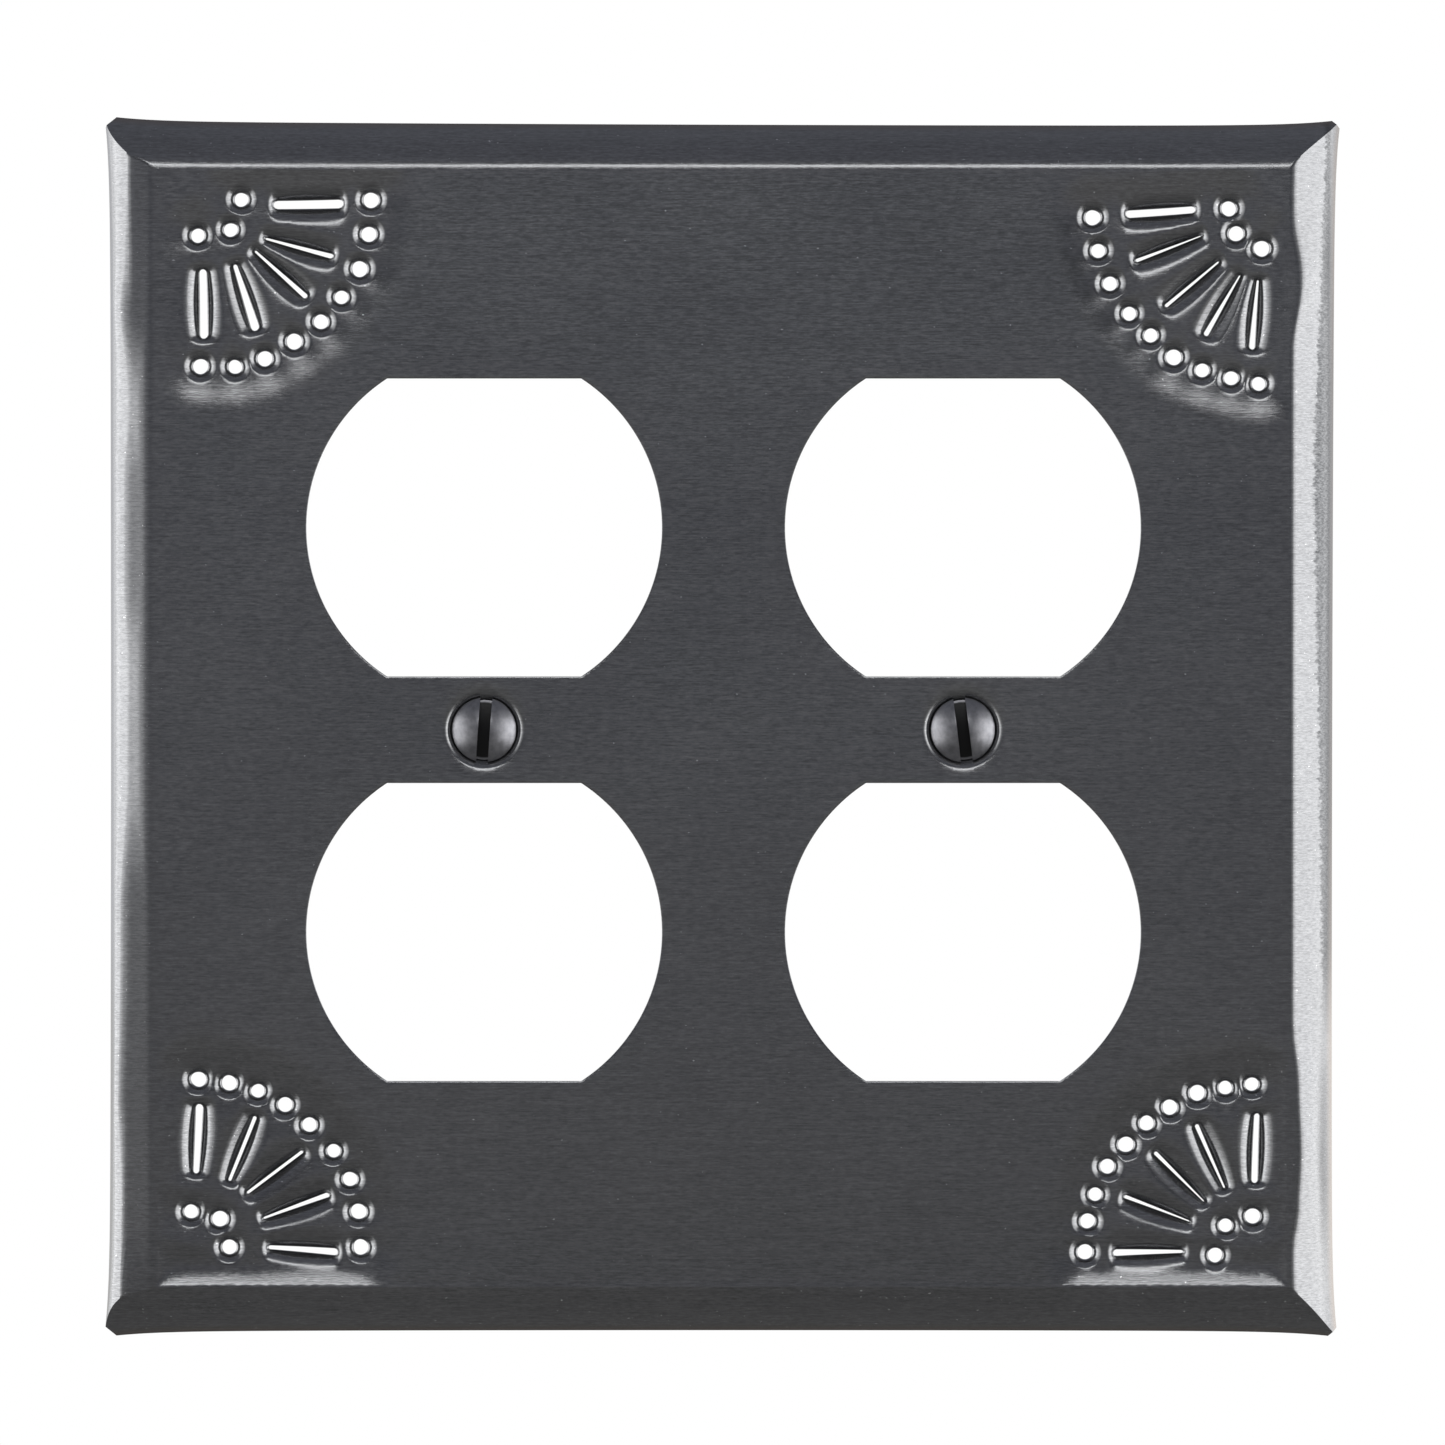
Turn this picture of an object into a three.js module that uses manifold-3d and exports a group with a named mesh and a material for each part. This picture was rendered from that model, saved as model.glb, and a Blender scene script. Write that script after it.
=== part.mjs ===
// Two-gang duplex receptacle cover: one pressed and hand-pierced steel sheet and its two
// oval-head screws. Millimetres, +Z up. X runs across the plate, Y from the room (-) into
// the wall (+). The origin is on the wall plane, midway between the two screw holes.
import * as THREE from 'three';
import { mergeVertices } from 'three/addons/utils/BufferGeometryUtils.js';
import Module from 'manifold-3d';

const wasm = await Module();
wasm.setup();

// ---- driving dimensions: the sheet ----
const PLATE_WIDTH = 118.2;
const PLATE_HEIGHT = 117.2;
const PLATE_DEPTH = 5.78; // wall to the front of the face
const SHEET = 0.5;
const TIP_CLIP = 1.3; // how far each corner tip is cut back along both edges

// Each edge is turned back to the wall. start is the tilt of the sheet just outside the bend
// line, end its tilt at the rim, in degrees from the face; a start near 0 is a soft roll.
const FLANGE = {
  left: { width: 4.8, start: 4, end: 76 },
  right: { width: 4.4, start: 34, end: 68 },
  top: { width: 4.5, start: 34, end: 68 },
  bottom: { width: 4.5, start: 34, end: 68 },
};
const FLANGE_STEPS = 6;

// ---- driving dimensions: device openings and screw holes ----
const GANG_SPACING = 46.04; // centre to centre of the two devices
const OUTLET_SPACING = 38.9; // centre to centre of the two openings of one device
const OPENING_DIAMETER = 34.15;
const OPENING_HEIGHT = 28.65; // between the flats at top and bottom
const OPENING_ARC_STEPS = 12;

const ROUND_SIDES = 24; // facets around the dishes and the screw heads
const COUNTERSINK_HALF_ANGLE = THREE.MathUtils.degToRad(41); // of the dishes and the screws' cones
const DISH_DIAMETER = 7.2;
const DISH_HOLE_DIAMETER = 5.0;
const DISH_DEPTH = (DISH_DIAMETER - DISH_HOLE_DIAMETER) / 2 / Math.tan(COUNTERSINK_HALF_ANGLE);

// ---- driving dimensions: the pierced fans ----
// Each corner has a fan of punched holes and chiselled bars around a pivot near the corner of
// the face. Angles are in degrees, anticlockwise from +X as seen from the room. The rim is the
// outer row of holes: its angles run evenly, but the middle of the row is bowed a little.
// Each bar has the angle of its centre and its lean off the radius. The heel is three holes.
const FANS = [
  {
    pivot: [-49.4, 50.4],
    rim: { radius: 15.5, from: 2, to: -93, bow: -1, holes: 9 },
    bars: { inner: 6.1, centres: [1, -25, -44, -69, -94], leans: [0, 10, 2, -3, 5] },
    heel: { radius: 3.0, from: 14, to: -113 },
  },
  {
    pivot: [52.4, 50.2],
    rim: { radius: 16.8, from: -177, to: -93, bow: 2.5, holes: 9 },
    bars: { inner: 7.0, centres: [-178, -158, -135, -115, -97], leans: [2, -1, -5, -5, 2] },
    heel: { radius: 3.9, from: -177, to: -100 },
  },
  {
    pivot: [-50.6, -49.5],
    rim: { radius: 15.8, from: 90, to: -1, bow: 2, holes: 9 },
    bars: { inner: 6.8, centres: [90, 65, 43, 21, -3], leans: [-3, 3, -6, -1, -1] },
    heel: { radius: 3.2, from: 100, to: -6 },
  },
  {
    pivot: [50.7, -50.1],
    rim: { radius: 15.9, from: 180, to: 89, bow: 0, holes: 10 },
    bars: { inner: 6.5, centres: [181, 156, 134, 113, 87], leans: [0, 3, 1, 1, 1] },
    heel: { radius: 3.3, from: 186, to: 87 },
  },
];
const HEEL_HOLES = 3;
const WANDER = 0.15; // how far a punched hole may land from its place
const WANDER_SEED = 7;

// A punch pushes the sheet back: a wide crater at the face narrows to the hole behind it.
const PUNCH_DEPTH = 1.0;
const PUNCH_WALL = 0.35;
const PUNCH_CLEARANCE = 0.1; // a cutter's overrun at both ends
const HOLE_SIDES = 7;
const HOLE_CRATER_RADIUS = 1.4;
const HOLE_RADIUS = 0.78;
const BAR_LENGTH = 6.7;
const BAR_TROUGH_RADIUS = 1.35;
const BAR_SLIT_RADIUS = 0.3;
const BAR_END_STEPS = 3;

// ---- driving dimensions: the mounting screws, number 6-32 by 1/2 inch, oval head ----
const SCREW_LENGTH = 12.7; // from the front edge of the head to the tip
const HEAD_RADIUS = 3.1;
const HEAD_EDGE = 0.12; // straight edge between crown and cone
const SEAT_GAP = 0.12; // between the head's cone and the dish, along a radius
const CROWN_HEIGHT = 1.14;
const CROWN_STEPS = 5;
const THREAD_RADIUS = 1.75;
const THREAD_CORE_RADIUS = 1.32;
const THREAD_PITCH = 0.794;
const THREAD_RISE = 0.72; // width of the ridge at its foot, as a share of the pitch
const THREAD_CREST = 0.14; // and at its crest
const THREAD_START = 2.9; // behind the front edge of the head
const THREAD_RUNOUT = 0.9; // plain tip past the last turn
const SHANK_SIDES = 12; // facets around the shank and in one turn of the thread
const TIP_CHAMFER = 0.3;
const SLOT_WIDTH = 1.15;
const SLOT_DEPTH = 1.5; // below the top of the crown

const FACE = -PLATE_DEPTH;
const THROUGH = 2; // how far a cutter runs clear of what it cuts

// ---- helpers ----
function solidFrom(geometry) {
  geometry.deleteAttribute('normal');
  geometry.deleteAttribute('uv');
  const merged = mergeVertices(geometry, 1e-4);
  return new wasm.Manifold(new wasm.Mesh({
    numProp: 3,
    vertProperties: Float32Array.from(merged.attributes.position.array),
    triVerts: Uint32Array.from(merged.index.array),
  }));
}

function geometryFrom(solid) {
  const mesh = solid.getMesh();
  const geometry = new THREE.BufferGeometry();
  geometry.setAttribute('position', new THREE.BufferAttribute(mesh.vertProperties, 3));
  geometry.setIndex(new THREE.BufferAttribute(mesh.triVerts, 1));
  geometry.computeVertexNormals();
  return geometry;
}

function joined(solids) {
  return solids.reduce((sum, solid) => sum.add(solid));
}

// An outline drawn as (x, z) becomes a solid between the depths front and back.
function extrudeThroughSheet(outline, front, back) {
  const geometry = new THREE.ExtrudeGeometry(outline, { depth: back - front, bevelEnabled: false });
  geometry.rotateX(Math.PI / 2);
  geometry.translate(0, back, 0);
  return solidFrom(geometry);
}

// ---- the pressed tray ----
// One flange as (distance out from the bend line, distance back from the face).
function flangeCurve({ width, start, end }) {
  const reach = 0.45 * Math.hypot(width, PLATE_DEPTH);
  const startTilt = THREE.MathUtils.degToRad(start);
  const endTilt = THREE.MathUtils.degToRad(end);
  const rim = new THREE.Vector2(width, PLATE_DEPTH);
  const curve = new THREE.CubicBezierCurve(
    new THREE.Vector2(0, 0),
    new THREE.Vector2(Math.cos(startTilt), Math.sin(startTilt)).multiplyScalar(reach),
    new THREE.Vector2(-Math.cos(endTilt), -Math.sin(endTilt)).multiplyScalar(reach).add(rim),
    rim,
  );
  return curve.getPoints(FLANGE_STEPS);
}

// Moves an open line of points sideways, keeping its sides parallel.
function offsetLine(points, distance) {
  return points.map((point, i) => {
    const before = points[Math.max(i - 1, 0)];
    const after = points[Math.min(i + 1, points.length - 1)];
    const arriving = (i > 0 ? point.clone().sub(before) : after.clone().sub(point)).normalize();
    const leaving = (i < points.length - 1 ? after.clone().sub(point) : arriving.clone()).normalize();
    const across = new THREE.Vector2(-arriving.y - leaving.y, arriving.x + leaving.x).normalize();
    const squeeze = across.x * -arriving.y + across.y * arriving.x;
    return point.clone().addScaledVector(across, distance / squeeze);
  });
}

// Section across the plate, from the low side to the high side, as (position, depth).
function traySection(size, lowFlange, highFlange) {
  const low = flangeCurve(lowFlange).map(
    (point) => new THREE.Vector2(-size / 2 + lowFlange.width - point.x, FACE + point.y),
  );
  const high = flangeCurve(highFlange).map(
    (point) => new THREE.Vector2(size / 2 - highFlange.width + point.x, FACE + point.y),
  );
  return [...low.reverse(), ...high];
}

function sectionShape(line, back) {
  const first = line[0];
  const last = line[line.length - 1];
  return new THREE.Shape([new THREE.Vector2(first.x, back), ...line, new THREE.Vector2(last.x, back)]);
}

// The block inside the tray's front surface, or inside its back surface for an inset of one
// sheet. Two crossed sections make the four mitred corners.
function trayBlock(inset, back) {
  const length = 2 * Math.max(PLATE_WIDTH, PLATE_HEIGHT);
  const across = offsetLine(traySection(PLATE_WIDTH, FLANGE.left, FLANGE.right), inset);
  const upright = offsetLine(traySection(PLATE_HEIGHT, FLANGE.bottom, FLANGE.top), inset);
  const options = { depth: length, bevelEnabled: false };
  const acrossBlock = new THREE.ExtrudeGeometry(sectionShape(across, back), options);
  acrossBlock.translate(0, 0, -length / 2);
  const uprightBlock = new THREE.ExtrudeGeometry(sectionShape(upright, back), options);
  uprightBlock.translate(0, 0, -length / 2);
  uprightBlock.rotateY(-Math.PI / 2);
  return solidFrom(acrossBlock).intersect(solidFrom(uprightBlock));
}

function clippedOutline() {
  const x = PLATE_WIDTH / 2;
  const z = PLATE_HEIGHT / 2;
  const outline = new THREE.Shape();
  outline.moveTo(-x + TIP_CLIP, -z);
  outline.lineTo(x - TIP_CLIP, -z);
  outline.lineTo(x, -z + TIP_CLIP);
  outline.lineTo(x, z - TIP_CLIP);
  outline.lineTo(x - TIP_CLIP, z);
  outline.lineTo(-x + TIP_CLIP, z);
  outline.lineTo(-x, z - TIP_CLIP);
  outline.lineTo(-x, -z + TIP_CLIP);
  outline.closePath();
  return outline;
}

function pressedTray() {
  const outside = trayBlock(0, 0);
  const inside = trayBlock(SHEET, THROUGH);
  const outline = extrudeThroughSheet(clippedOutline(), FACE - THROUGH, THROUGH);
  return outside.intersect(outline).subtract(inside);
}

// ---- openings ----
// A circle with a flat at its top and bottom.
function openingCutter(x, z) {
  const radius = OPENING_DIAMETER / 2;
  const flatAngle = Math.asin(OPENING_HEIGHT / OPENING_DIAMETER);
  const outline = new THREE.Shape();
  outline.absarc(x, z, radius, -flatAngle, flatAngle, false);
  outline.absarc(x, z, radius, Math.PI - flatAngle, Math.PI + flatAngle, false);
  outline.closePath();
  const points = outline.getPoints(OPENING_ARC_STEPS);
  return extrudeThroughSheet(new THREE.Shape(points), FACE - THROUGH, FACE + THROUGH);
}

function openingCutters() {
  const cutters = [];
  for (const side of [-1, 1]) {
    for (const end of [-1, 1]) {
      cutters.push(openingCutter(side * GANG_SPACING / 2, end * OUTLET_SPACING / 2));
    }
  }
  return cutters;
}

// A frustum along Y between two depths behind the face.
function frustum(x, z, from, to, sides, turn = 0) {
  const length = to.depth - from.depth;
  const geometry = new THREE.CylinderGeometry(to.radius, from.radius, length, sides);
  geometry.rotateY(turn);
  geometry.translate(x, FACE + from.depth + length / 2, z);
  return solidFrom(geometry);
}

function dishBoss(x) {
  const from = { depth: SHEET / 2, radius: DISH_DIAMETER / 2 };
  const to = { depth: DISH_DEPTH + SHEET / 2, radius: DISH_HOLE_DIAMETER / 2 + SHEET };
  return frustum(x, 0, from, to, ROUND_SIDES);
}

function dishCutter(x) {
  const flare = THROUGH * Math.tan(COUNTERSINK_HALF_ANGLE);
  const mouth = { depth: -THROUGH, radius: DISH_DIAMETER / 2 + flare };
  const throat = { depth: DISH_DEPTH, radius: DISH_HOLE_DIAMETER / 2 };
  const end = { depth: DISH_DEPTH + THROUGH, radius: DISH_HOLE_DIAMETER / 2 };
  return frustum(x, 0, mouth, throat, ROUND_SIDES).add(frustum(x, 0, throat, end, ROUND_SIDES));
}

// ---- the pierced fans ----
function polar(pivot, radius, degrees) {
  const angle = THREE.MathUtils.degToRad(degrees);
  return [pivot[0] + radius * Math.cos(angle), pivot[1] + radius * Math.sin(angle)];
}

function wandered([x, z]) {
  const amount = () => WANDER * (2 * THREE.MathUtils.seededRandom() - 1);
  return { x: x + amount(), z: z + amount(), turn: Math.PI * THREE.MathUtils.seededRandom() };
}

function fanHoles({ pivot, rim, heel }) {
  const holes = [];
  for (let i = 0; i < rim.holes; i += 1) {
    const along = i / (rim.holes - 1);
    const angle = rim.from + along * (rim.to - rim.from) + rim.bow * Math.sin(Math.PI * along);
    holes.push(wandered(polar(pivot, rim.radius, angle)));
  }
  for (let i = 0; i < HEEL_HOLES; i += 1) {
    const angle = heel.from + (i / (HEEL_HOLES - 1)) * (heel.to - heel.from);
    holes.push(wandered(polar(pivot, heel.radius, angle)));
  }
  return holes;
}

function fanBars({ pivot, bars }) {
  return bars.centres.map((angle, i) => {
    const [x, z] = polar(pivot, bars.inner + BAR_LENGTH / 2, angle);
    return { x, z, turn: THREE.MathUtils.degToRad(angle + bars.leans[i]) };
  });
}

function holeBoss({ x, z, turn }) {
  const from = { depth: SHEET / 2, radius: HOLE_CRATER_RADIUS + PUNCH_WALL / 2 };
  const to = { depth: PUNCH_DEPTH, radius: HOLE_RADIUS + PUNCH_WALL };
  return frustum(x, z, from, to, HOLE_SIDES, turn);
}

function holeCutter({ x, z, turn }) {
  const flare = PUNCH_CLEARANCE * (HOLE_CRATER_RADIUS - HOLE_RADIUS) / PUNCH_DEPTH;
  const from = { depth: -PUNCH_CLEARANCE, radius: HOLE_CRATER_RADIUS + flare };
  const to = { depth: PUNCH_DEPTH + PUNCH_CLEARANCE, radius: HOLE_RADIUS - flare };
  return frustum(x, z, from, to, HOLE_SIDES, turn);
}

// A bar is a slot outline whose walls slope from a wide middle to a narrow slit at both ends;
// only the half that points into the wall meets the sheet.
function barWedge({ x, z, turn }, wide, slit) {
  const half = BAR_LENGTH / 2 - BAR_SLIT_RADIUS;
  const outline = new THREE.Shape();
  outline.absarc(half, 0, slit.radius, -Math.PI / 2, Math.PI / 2, false);
  outline.absarc(-half, 0, slit.radius, Math.PI / 2, 3 * Math.PI / 2, false);
  const shape = new THREE.Shape(outline.getPoints(BAR_END_STEPS));
  const geometry = new THREE.ExtrudeGeometry(shape, {
    depth: 0,
    bevelThickness: slit.depth - wide.depth,
    bevelSize: wide.radius - slit.radius,
    bevelSegments: 1,
  });
  geometry.rotateX(Math.PI / 2);
  geometry.rotateY(-turn);
  geometry.translate(x, FACE + wide.depth, z);
  return solidFrom(geometry);
}

function barBoss(bar) {
  const wide = { depth: SHEET / 2, radius: BAR_TROUGH_RADIUS + PUNCH_WALL / 2 };
  const slit = { depth: PUNCH_DEPTH, radius: BAR_SLIT_RADIUS + PUNCH_WALL };
  return barWedge(bar, wide, slit);
}

function barCutter(bar) {
  const wide = { depth: 0, radius: BAR_TROUGH_RADIUS };
  const slit = { depth: PUNCH_DEPTH + PUNCH_CLEARANCE, radius: BAR_SLIT_RADIUS };
  return barWedge(bar, wide, slit);
}

function coverPlate() {
  THREE.MathUtils.seededRandom(WANDER_SEED);
  const holes = FANS.flatMap(fanHoles);
  const bars = FANS.flatMap(fanBars);
  const screwPlaces = [-GANG_SPACING / 2, GANG_SPACING / 2];
  const behindFace = solidFrom(
    new THREE.BoxGeometry(PLATE_WIDTH, PLATE_DEPTH, PLATE_HEIGHT)
      .translate(0, FACE + SHEET / 2 + PLATE_DEPTH / 2, 0),
  );
  const bosses = joined([...holes.map(holeBoss), ...bars.map(barBoss), ...screwPlaces.map(dishBoss)]);
  const cutters = joined([
    ...openingCutters(),
    ...screwPlaces.map(dishCutter),
    ...holes.map(holeCutter),
    ...bars.map(barCutter),
  ]);
  return pressedTray().add(bosses.intersect(behindFace)).subtract(cutters);
}

// ---- the mounting screws ----
// A seated head goes into the dish until its cone is the seat gap away from the wall.
const HEAD_SINK = (DISH_DIAMETER / 2 - HEAD_RADIUS - SEAT_GAP) / Math.tan(COUNTERSINK_HALF_ANGLE) - HEAD_EDGE;
const HEAD_FRONT = FACE + HEAD_SINK;
const CONE_DEPTH = (HEAD_RADIUS - THREAD_CORE_RADIUS) / Math.tan(COUNTERSINK_HALF_ANGLE);

// A closed profile of (radius, depth behind the head's front edge), turned around Y.
function turned(profile, sides) {
  const points = profile.map(([radius, depth]) => new THREE.Vector2(radius, HEAD_FRONT + depth));
  return solidFrom(new THREE.LatheGeometry(points, sides));
}

// The crown is a cap of a sphere, with a straight edge and a cone behind it.
function screwHead() {
  const sphereRadius = (HEAD_RADIUS ** 2 + CROWN_HEIGHT ** 2) / (2 * CROWN_HEIGHT);
  const capAngle = Math.asin(HEAD_RADIUS / sphereRadius);
  const profile = [];
  for (let i = 0; i <= CROWN_STEPS; i += 1) {
    const angle = (i / CROWN_STEPS) * capAngle;
    const depth = sphereRadius * (1 - Math.cos(angle)) - CROWN_HEIGHT;
    profile.push([sphereRadius * Math.sin(angle), depth]);
  }
  profile.push([HEAD_RADIUS, HEAD_EDGE]);
  profile.push([THREAD_CORE_RADIUS, HEAD_EDGE + CONE_DEPTH]);
  profile.push([0, HEAD_EDGE + CONE_DEPTH]);
  return turned(profile, ROUND_SIDES);
}

function screwShank() {
  const insideHead = HEAD_EDGE + CONE_DEPTH / 2;
  const profile = [
    [0, insideHead],
    [THREAD_CORE_RADIUS, insideHead],
    [THREAD_CORE_RADIUS, SCREW_LENGTH - TIP_CHAMFER],
    [THREAD_CORE_RADIUS - TIP_CHAMFER, SCREW_LENGTH],
    [0, SCREW_LENGTH],
  ];
  return turned(profile, SHANK_SIDES);
}

// A helix around Y whose frames point straight out from the axis, so the ridge never twists.
class ThreadPath extends THREE.Curve {
  constructor(startDepth, turns) {
    super();
    this.startDepth = startDepth;
    this.turns = turns;
  }

  getPoint(t) {
    const angle = 2 * Math.PI * this.turns * t;
    const y = this.startDepth + THREAD_PITCH * this.turns * t;
    return new THREE.Vector3(THREAD_CORE_RADIUS * Math.sin(angle), y, THREAD_CORE_RADIUS * Math.cos(angle));
  }

  getPointAt(t) {
    return this.getPoint(t);
  }

  computeFrenetFrames(segments) {
    const frames = { tangents: [], normals: [], binormals: [] };
    for (let i = 0; i <= segments; i += 1) {
      const angle = 2 * Math.PI * this.turns * i / segments;
      const outward = new THREE.Vector3(Math.sin(angle), 0, Math.cos(angle));
      const tangent = new THREE.Vector3(Math.cos(angle), 0, -Math.sin(angle));
      frames.normals.push(outward);
      frames.tangents.push(tangent);
      frames.binormals.push(new THREE.Vector3().crossVectors(tangent, outward));
    }
    return frames;
  }
}

function threadRidge() {
  const turns = (SCREW_LENGTH - THREAD_RUNOUT - THREAD_START) / THREAD_PITCH;
  const height = THREAD_RADIUS - THREAD_CORE_RADIUS;
  const foot = THREAD_RISE * THREAD_PITCH / 2;
  const crest = THREAD_CREST * THREAD_PITCH / 2;
  const sunk = 0.1; // the foot starts a little inside the core
  const ridge = new THREE.Shape([
    new THREE.Vector2(-sunk, -foot),
    new THREE.Vector2(height, -crest),
    new THREE.Vector2(height, crest),
    new THREE.Vector2(-sunk, foot),
  ]);
  const geometry = new THREE.ExtrudeGeometry(ridge, {
    steps: Math.round(turns * SHANK_SIDES),
    extrudePath: new ThreadPath(HEAD_FRONT + THREAD_START, turns),
  });
  return solidFrom(geometry);
}

function mountingScrew(x) {
  const body = screwHead().add(screwShank()).add(threadRidge());
  const slot = solidFrom(
    new THREE.BoxGeometry(SLOT_WIDTH, SLOT_DEPTH + THROUGH, 3 * HEAD_RADIUS)
      .translate(0, HEAD_FRONT - CROWN_HEIGHT + (SLOT_DEPTH - THROUGH) / 2, 0),
  );
  return body.subtract(slot).translate([x, 0, 0]);
}

// ---- the assembly ----
function namedMesh(name, solid, material) {
  const mesh = new THREE.Mesh(geometryFrom(solid), material);
  mesh.name = name;
  return mesh;
}

const darkTinplate = new THREE.MeshStandardMaterial({ color: 0x4b4b50, roughness: 0.38, metalness: 1 });
const screwSteel = new THREE.MeshStandardMaterial({ color: 0x5a5a60, roughness: 0.3, metalness: 1 });

const wallPlateCover = new THREE.Group();
wallPlateCover.add(
  namedMesh('cover_plate', coverPlate(), darkTinplate),
  namedMesh('mounting_screw_left', mountingScrew(-GANG_SPACING / 2), screwSteel),
  namedMesh('mounting_screw_right', mountingScrew(GANG_SPACING / 2), screwSteel),
);

export default wallPlateCover;
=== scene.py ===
"""Looks of the two-gang wall plate cover: a pressed and hand-pierced sheet and its two screws.

Shapes are worked out in millimetres in the part's frame (X right, Y into the wall, Z up) and
turned into metres when a mesh is made. Depth behind the face is called drop.
"""
import itertools
import math
import random

import bmesh
import bpy
import numpy as np
from mathutils import Matrix, Vector
from mathutils.geometry import delaunay_2d_cdt


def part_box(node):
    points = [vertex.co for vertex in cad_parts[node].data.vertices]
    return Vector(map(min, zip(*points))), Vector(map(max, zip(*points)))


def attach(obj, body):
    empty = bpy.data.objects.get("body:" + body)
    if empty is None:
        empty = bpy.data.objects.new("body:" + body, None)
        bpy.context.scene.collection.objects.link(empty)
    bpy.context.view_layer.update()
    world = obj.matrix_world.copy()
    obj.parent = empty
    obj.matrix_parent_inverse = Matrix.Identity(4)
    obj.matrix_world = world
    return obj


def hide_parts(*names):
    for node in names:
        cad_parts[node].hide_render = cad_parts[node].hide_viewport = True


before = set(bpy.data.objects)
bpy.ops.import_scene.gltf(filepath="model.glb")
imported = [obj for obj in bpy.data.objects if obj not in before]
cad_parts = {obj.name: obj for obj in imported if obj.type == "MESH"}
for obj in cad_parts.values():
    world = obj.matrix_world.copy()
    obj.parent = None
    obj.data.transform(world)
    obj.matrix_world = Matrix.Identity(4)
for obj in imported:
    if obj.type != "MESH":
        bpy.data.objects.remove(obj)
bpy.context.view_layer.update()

MM = 0.001


def box(node):
    """The low and high corners of a CAD node, in millimetres."""
    return [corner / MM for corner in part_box(node)]


plate_low, plate_high = box("cover_plate")

# ---- the sheet ----
FACE_DEPTH = -plate_low.y  # wall to the front of the face
SHEET = 0.5
SCREW_CENTRES = [
    sum(corner.x for corner in box("mounting_screw_" + side)) / 2
    for side in ("left", "right")
]

# Each edge is a bend of some radius, then a curve down to the rim. inset is how far the straight
# rim lies inside the CAD box, width is from bend line to rim, and taper is how much wider it is
# at the right or top end than at the other. The sheet's tilt goes from start to end, in degrees.
SIDES = {
    "left": {"inset": -0.12, "width": 4.65, "taper": 0.0, "bend": 4.2, "start": 20, "end": 80},
    "right": {"inset": 0.25, "width": 4.57, "taper": 0.3, "bend": 1.5, "start": 38, "end": 80},
    "bottom": {"inset": 0.55, "width": 4.5, "taper": 0.0, "bend": 0.9, "start": 40, "end": 62},
    "top": {"inset": 0.1, "width": 4.65, "taper": -0.4, "bend": 2.0, "start": 40, "end": 62},
}

# The upright edges were bent by hand, so their sections change along them: (height, amount).
# The left edge is a shallow slope of some tilt and width, then a steep one down to the rim.
LEFT_TILT = [
    (-58, 9), (-50, 12), (-18, 14), (-5, 26), (6, 27),
    (14, 20), (24, 20), (32, 27), (42, 13), (58, 11),
]
LEFT_SLOPE = [
    (-58, 3.35), (-47, 3.1), (-23, 2.5), (-9, 2.35),
    (30, 2.3), (38, 2.15), (50, 2.5), (56, 2.6),
]
# The least tilt with which the turn into the rim begins: fuller near the corners.
LEFT_TURN_TILT = [(-58, 32), (-48, 27), (-30, 0), (38, 0), (48, 24), (58, 32)]
LEFT_RIM_TILT = 83
# Punching the fans has pulled the right bend outwards (late) and made it rounder (bend). end is
# the tilt of the rim: more is a fuller curve.
RIGHT_LATE = [
    (-54, 0.0), (-50, 0.5), (-44, 0.75), (-37, 0.5), (-31, 0.0),
    (39, 0.0), (46, 0.75), (53, 0.0),
]
RIGHT_BEND = [
    (-54, 0.0), (-44, 0.25), (-35, 0.25), (-29, 0.0),
    (37, 0.0), (46, 0.25), (55, 0.0),
]
RIGHT_END = [(-45, 62), (-32, 62), (-18, 68), (0, 72), (26, 74), (50, 68)]
LATE_DROP = 0.03  # how far the sheet has sunk before a late bend begins, for each millimetre
LATE_STEEPER = 24  # and how many degrees further it then bends at once
BEND_STEPS = 9
CURVE_STEPS = 61
CURVE_HOLD = 0.4  # how long the curve to the rim keeps the tilts of its two ends
BEND_LINES = {
    "left": plate_low.x + SIDES["left"]["inset"] + SIDES["left"]["width"],
    "right": plate_high.x - SIDES["right"]["inset"] - SIDES["right"]["width"],
    "bottom": plate_low.z + SIDES["bottom"]["inset"] + SIDES["bottom"]["width"],
    "top": plate_high.z - SIDES["top"]["inset"] - SIDES["top"]["width"],
}
PLATE_HALF_HEIGHT = (plate_high.z - plate_low.z) / 2
TIP_FLARE = 0.55  # how far the corner tips stand out beyond the straight rim
TIP_FLARE_LENGTH = 4.0
EDGE_BOW = 0.12  # how far the ends of a side stand out beyond its middle
TIP_CLIP = 1.35  # how far each corner tip is cut back along both edges
PLATE_SHARP_ANGLE = 48  # edges sharper than this stay sharp

# The flange is divided into loops of equal depth, and each side into stations along it.
BEND_DROP = 0.31  # the depth of the bends, where the loops are closest together
BEND_LOOPS = 9
SLOPE_DROP = 1.6  # the depth down to which the left edge's shallow slope may reach
SLOPE_LOOPS = 18
RIM_LOOPS = 11
STATION_FIRST = 0.3  # the step between stations beside a corner
STATION_GROWTH = 1.3
STATION_LARGEST = 1.4

# ---- openings and screw holes ----
OUTLET_SPACING = 38.9
OPENING_RADIUS = 17.1
OPENING_HALF_HEIGHT = 14.33
DISH_HOLE_RADIUS = 2.5
DISH_RADIUS = 3.6
DISH_HALF_ANGLE = 41

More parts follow.
